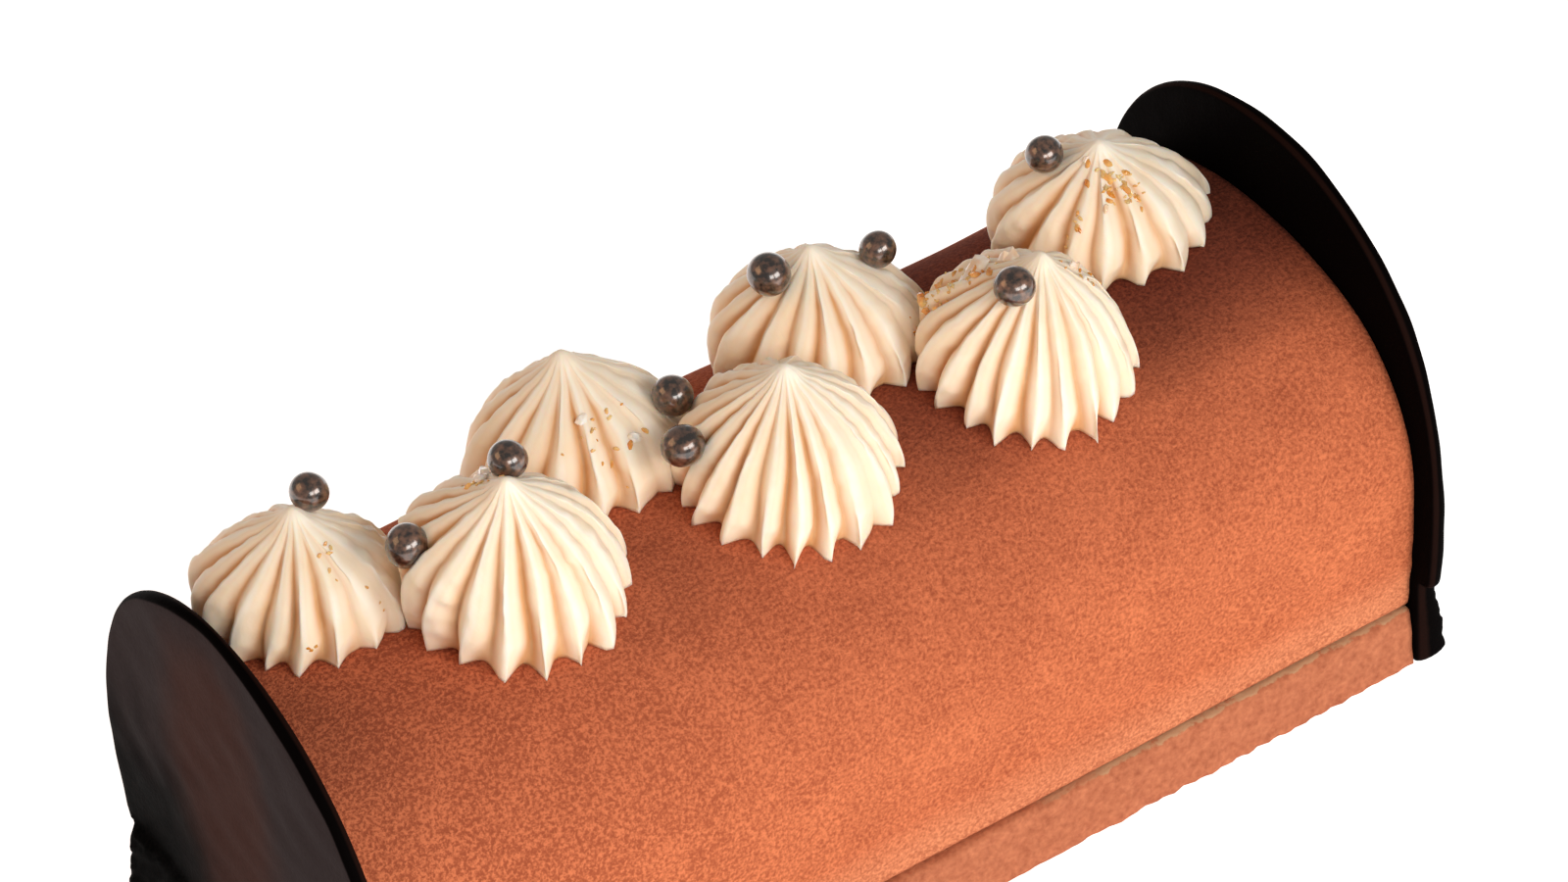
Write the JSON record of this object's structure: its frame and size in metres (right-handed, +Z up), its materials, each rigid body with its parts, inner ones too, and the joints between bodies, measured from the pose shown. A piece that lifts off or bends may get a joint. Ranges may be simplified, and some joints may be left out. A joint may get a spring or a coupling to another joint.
{
  "type": "chocolate log cake",
  "caption": "Arched mousse log cake with dark chocolate end plates, a zigzag of piped cream kisses along the top and chocolate pearls on the cream.",
  "frame": {"origin": "centre of the footprint, on the surface the cake stands on", "axes": "+X along the log from the left end plate to the right one, +Y to the back, +Z up"},
  "size_m": [0.197, 0.086, 0.0938],
  "materials": {
    "sprayed_sponge": "matte, sprayed with milk chocolate",
    "velvet_mousse": "matte velvet spray, fine grain",
    "dark_chocolate": "satin",
    "piped_cream": "satin cream",
    "chocolate_pearl": "polished, with a bronze sheen"
  },
  "bodies": {
    "root": {"cake_base": "sprayed_sponge", "mousse_log": "velvet_mousse", "end_plate_left": "dark_chocolate", "end_plate_right": "dark_chocolate", "cream_kiss_1": "piped_cream", "cream_kiss_2": "piped_cream", "cream_kiss_3": "piped_cream", "cream_kiss_4": "piped_cream", "cream_kiss_5": "piped_cream", "cream_kiss_6": "piped_cream", "cream_kiss_7": "piped_cream", "chocolate_pearl_1": "chocolate_pearl", "chocolate_pearl_2": "chocolate_pearl", "chocolate_pearl_3": "chocolate_pearl", "chocolate_pearl_4": "chocolate_pearl", "chocolate_pearl_5": "chocolate_pearl", "chocolate_pearl_6": "chocolate_pearl", "chocolate_pearl_7": "chocolate_pearl", "chocolate_pearl_8": "chocolate_pearl", "chocolate_pearl_9": "chocolate_pearl"}
  },
  "joints": []
}
